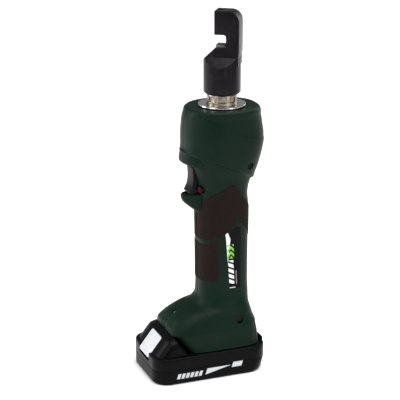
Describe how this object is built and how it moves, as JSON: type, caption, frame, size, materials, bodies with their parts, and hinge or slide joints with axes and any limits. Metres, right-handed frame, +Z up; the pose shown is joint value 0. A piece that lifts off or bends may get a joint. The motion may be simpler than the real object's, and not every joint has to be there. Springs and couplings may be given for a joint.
{
  "type": "cordless hydraulic press tool",
  "caption": "Upright cordless hydraulic hand tool with a turning C-shaped work head, trigger grip and slide-on battery.",
  "frame": {"origin": "on the tool's long axis, at the flat base of the battery", "axes": "+Z up along the tool's axis to the work head; -Y towards the trigger and the battery's release button; +X the tool's right"},
  "size_m": [0.075, 0.1227, 0.3505],
  "materials": {
    "housing_green": "satin moulded, fine texture",
    "grip_rubber": "matte",
    "black_plastic": "satin",
    "battery_black": "semi-gloss",
    "button_grey": "satin",
    "label_film": "gloss film",
    "red_plastic": "satin",
    "black_oxide": "black oxide",
    "die_steel": "ground",
    "bright_steel": "polished",
    "nickel": "nickel plated",
    "brass": "turned",
    "copper": "bare",
    "aluminium": "machined",
    "seal_rubber": "matte",
    "circuit_board": "solder mask",
    "clear_lens": "clear",
    "cell_wrap": "film",
    "magnet": "sintered"
  },
  "bodies": {
    "housing": {"housing_right": "housing_green", "housing_left": "housing_green", "upper_grip_pad_right": "grip_rubber", "upper_grip_pad_left": "grip_rubber", "lower_grip_pad_right": "grip_rubber", "lower_grip_pad_left": "grip_rubber", "side_label_right": "label_film", "side_label_left": "label_film", "housing_screw_1": "bright_steel", "housing_screw_2": "bright_steel", "collar_washer": "bright_steel", "neck_sleeve": "nickel", "rod_seal": "seal_rubber", "hydraulic_cylinder": "aluminium", "ring_gear": "black_plastic", "gearbox_plate": "aluminium", "motor_can": "bright_steel", "motor_end_cap": "black_plastic", "field_magnet": "magnet", "brush_holder": "black_plastic", "shaft_bearing": "bright_steel", "pump_block": "aluminium", "plunger_plug": "brass", "relief_valve": "brass", "oil_bladder": "seal_rubber", "micro_switch": "black_plastic", "trigger_pin": "bright_steel", "status_led": "clear_lens", "control_board": "circuit_board", "terminal_block": "black_plastic"},
    "head": {"head_frame": "black_oxide", "upper_die": "die_steel", "die_screw": "bright_steel"},
    "ram": {"ram_piston": "bright_steel", "piston_seal": "seal_rubber", "lower_die": "die_steel", "return_spring": "bright_steel"},
    "trigger": {"trigger": "black_plastic", "trigger_spring": "bright_steel"},
    "retract_button": {"retract_button": "red_plastic", "retract_spring": "bright_steel"},
    "battery": {"battery_lower_case": "battery_black", "battery_upper_case": "battery_black", "battery_board": "circuit_board", "battery_cell_1": "cell_wrap", "battery_cell_2": "cell_wrap", "battery_cell_3": "cell_wrap", "battery_cell_4": "cell_wrap", "battery_cell_5": "cell_wrap"},
    "battery_latch": {"release_button": "button_grey", "latch_spring": "bright_steel"},
    "rotor": {"armature": "copper", "sun_gear": "bright_steel"},
    "carrier": {"planet_carrier": "bright_steel", "eccentric_bearing": "bright_steel"},
    "planet_1": {"planet_gear_1": "bright_steel"},
    "planet_2": {"planet_gear_2": "bright_steel"},
    "planet_3": {"planet_gear_3": "bright_steel"},
    "plunger": {"pump_plunger": "bright_steel"}
  },
  "joints": [
    {"name": "head_turn", "type": "hinge", "parent": "housing", "child": "head", "pos_m": [0, 0, 0.272], "axis": [0, 0, 1], "continuous": true},
    {"name": "ram_stroke", "type": "slide", "parent": "head", "child": "ram", "axis": [0, 0, 1], "range_m": [0, 0.0092], "stiffness_N_per_m": 3000, "springref_m": -0.004, "deforming": ["return_spring"]},
    {"name": "trigger_pull", "type": "hinge", "parent": "housing", "child": "trigger", "pos_m": [0, -0.022, 0.201], "axis": [1, 0, 0], "range_deg": [0, 7], "stiffness_Nm_per_rad": 0.6, "springref_deg": -5.73, "deforming": ["trigger_spring"]},
    {"name": "retract_press", "type": "slide", "parent": "housing", "child": "retract_button", "axis": [0, 1, 0], "range_m": [0, 0.0022], "stiffness_N_per_m": 500, "springref_m": -0.002, "deforming": ["retract_spring"]},
    {"name": "battery_slide", "type": "slide", "parent": "housing", "child": "battery", "axis": [0, -1, 0], "range_m": [0, 0.11]},
    {"name": "latch_press", "type": "slide", "parent": "battery", "child": "battery_latch", "axis": [0, 0, -1], "range_m": [0, 0.0025], "stiffness_N_per_m": 900, "springref_m": -0.002, "deforming": ["latch_spring"]},
    {"name": "rotor_spin", "type": "hinge", "parent": "housing", "child": "rotor", "pos_m": [0, 0, 0.11], "axis": [0, 0, 1], "continuous": true},
    {"name": "carrier_spin", "type": "hinge", "parent": "housing", "child": "carrier", "pos_m": [0, 0, 0.14], "axis": [0, 0, 1], "continuous": true},
    {"name": "planet_1_spin", "type": "hinge", "parent": "carrier", "child": "planet_1", "pos_m": [0.00945, 0, 0.134], "axis": [0, 0, 1], "continuous": true},
    {"name": "planet_2_spin", "type": "hinge", "parent": "carrier", "child": "planet_2", "pos_m": [-0.00473, 0.00818, 0.134], "axis": [0, 0, 1], "continuous": true},
    {"name": "planet_3_spin", "type": "hinge", "parent": "carrier", "child": "planet_3", "pos_m": [-0.00473, -0.00818, 0.134], "axis": [0, 0, 1], "continuous": true},
    {"name": "plunger_stroke", "type": "slide", "parent": "housing", "child": "plunger", "axis": [0, 1, 0], "range_m": [-0.0019, 0]}
  ],
  "couplings": [
    {"joint": "carrier_spin", "follows": "rotor_spin", "ratio": 0.22222},
    {"joint": "planet_1_spin", "follows": "rotor_spin", "ratio": -0.62222},
    {"joint": "planet_2_spin", "follows": "rotor_spin", "ratio": -0.62222},
    {"joint": "planet_3_spin", "follows": "rotor_spin", "ratio": -0.62222}
  ]
}
